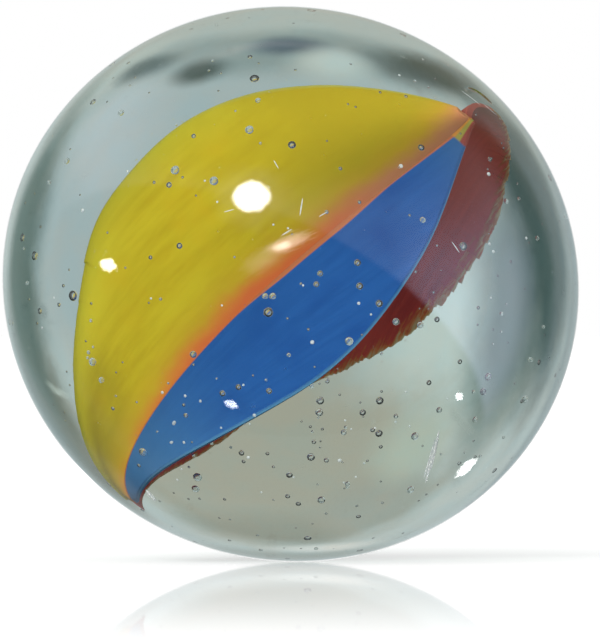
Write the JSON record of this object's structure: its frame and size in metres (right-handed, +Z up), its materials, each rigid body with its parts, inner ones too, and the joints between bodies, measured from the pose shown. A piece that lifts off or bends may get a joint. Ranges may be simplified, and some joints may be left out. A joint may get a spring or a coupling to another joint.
{
  "type": "glass marble",
  "caption": "Clear glass marble with yellow, blue and red glass vanes twisted from pole to pole inside it, and small trapped air bubbles.",
  "frame": {"origin": "middle of the ball", "axes": "+Z up, close to the ball's flatter way; -Y is the front, from which the yellow and blue vanes face the viewer; the vanes' poles lie high towards +X and low towards -X"},
  "size_m": [0.0162, 0.0162, 0.0156],
  "materials": {
    "clear_glass": "polished soda glass, faint grey-green, lightly scratched",
    "yellow_glass": "opaque yellow glass, orange at the root",
    "blue_glass": "opaque blue glass, paler at the edge",
    "red_glass": "dark red glass, streaked brown at the edge"
  },
  "bodies": {
    "root": {"clear_glass": "clear_glass", "yellow_vane": "yellow_glass", "blue_vane": "blue_glass", "red_vane": "red_glass"}
  },
  "joints": []
}
